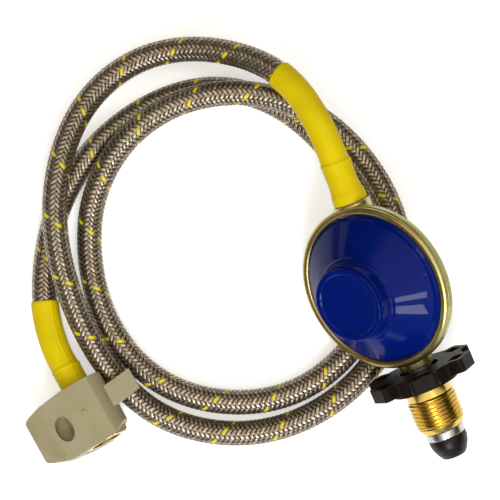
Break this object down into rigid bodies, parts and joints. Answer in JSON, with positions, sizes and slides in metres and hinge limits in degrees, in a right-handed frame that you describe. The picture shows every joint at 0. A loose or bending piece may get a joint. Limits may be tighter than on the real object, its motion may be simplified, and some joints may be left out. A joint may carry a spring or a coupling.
{
  "type": "propane regulator hose",
  "caption": "Low-pressure propane regulator with a handwheel bottle connector and a coiled braided hose that ends in a flare nut with a winged collar.",
  "frame": {"origin": "centre of the regulator group's footprint, on the table under its handwheel", "axes": "+Z up from the table, +Y the regulator group's long way, from the bottle nose to the hose outlet; the picture looks straight down with +X right and +Y up"},
  "size_m": [0.2001, 0.1915, 0.0627],
  "materials": {
    "zinc_yellow": "iridescent yellow chromate",
    "blue_paint": "deep gloss blue",
    "steel": "bright machined",
    "spring_steel": "oiled wire",
    "brass": "machined",
    "black_plastic": "fine textured",
    "black_rubber": "moulded",
    "nitrile": "cloth-backed",
    "gasket_paper": "pressed fibre",
    "sleeve_yellow": "satin shrink sleeve",
    "braid_steel": "woven stainless wire",
    "liner": "extruded",
    "cream_nylon": "moulded nylon",
    "mesh": "woven screen"
  },
  "bodies": {
    "regulator_and_hose": {"lower_body": "zinc_yellow", "bonnet": "blue_paint", "tower_cap": "blue_paint", "main_spring": "spring_steel", "diaphragm": "nitrile", "body_gasket": "gasket_paper", "lever_pin": "steel", "orifice_nozzle": "brass", "vent_screen": "mesh", "inlet_nipple": "steel", "nose_seal": "black_rubber", "stem_regulator": "steel", "ferrule_regulator": "steel", "sleeve_regulator": "sleeve_yellow", "hose_braid": "braid_steel", "hose_liner": "liner", "sleeve_far": "sleeve_yellow", "ferrule_far": "steel", "stem_far": "steel"},
    "bottle_connector": {"pol_nut": "brass", "handwheel": "black_plastic"},
    "flare_connector": {"flare_nut": "brass", "wing_collar": "cream_nylon"},
    "diaphragm_stack": {"diaphragm_plate": "steel", "diaphragm_post": "brass", "post_nut": "steel"},
    "valve_lever": {"lever": "steel"},
    "plunger": {"valve_plunger": "brass", "seat_disc": "nitrile"},
    "pressure_screw": {"adjusting_screw": "brass"}
  },
  "joints": [
    {"name": "bottle_nut_spin", "type": "hinge", "parent": "regulator_and_hose", "child": "bottle_connector", "pos_m": [0.0161, -0.02545, 0.02507], "axis": [0.3867, -0.9154, -0.1115], "continuous": true},
    {"name": "flare_nut_turn", "type": "hinge", "parent": "regulator_and_hose", "child": "flare_connector", "pos_m": [-0.13159, -0.04194, 0.01491], "axis": [0.4951, -0.8576, 0.1392], "range_deg": [0, 20]},
    {"name": "diaphragm_travel", "type": "slide", "parent": "regulator_and_hose", "child": "diaphragm_stack", "axis": [-0.5817, -0.3359, 0.7408], "range_m": [0, 0.0012], "stiffness_N_per_m": 300, "springref_m": -0.002, "deforming": ["main_spring", "diaphragm"]},
    {"name": "lever_swing", "type": "hinge", "parent": "regulator_and_hose", "child": "valve_lever", "pos_m": [0.00245, 0.01336, 0.02683], "axis": [0.7156, 0.2216, 0.6624], "range_deg": [0, 7.7]},
    {"name": "plunger_slide", "type": "slide", "parent": "regulator_and_hose", "child": "plunger", "axis": [0.3867, -0.9154, -0.1115], "range_m": [0, 0.00052]},
    {"name": "pressure_screw_turn", "type": "hinge", "parent": "regulator_and_hose", "child": "pressure_screw", "pos_m": [-0.01667, 0.01256, 0.04776], "axis": [-0.5817, -0.3359, 0.7408], "range_deg": [-180, 180]}
  ],
  "couplings": [
    {"joint": "lever_swing", "follows": "diaphragm_travel", "rad_per_m": 111.11},
    {"joint": "plunger_slide", "follows": "diaphragm_travel", "ratio": 0.4222}
  ]
}
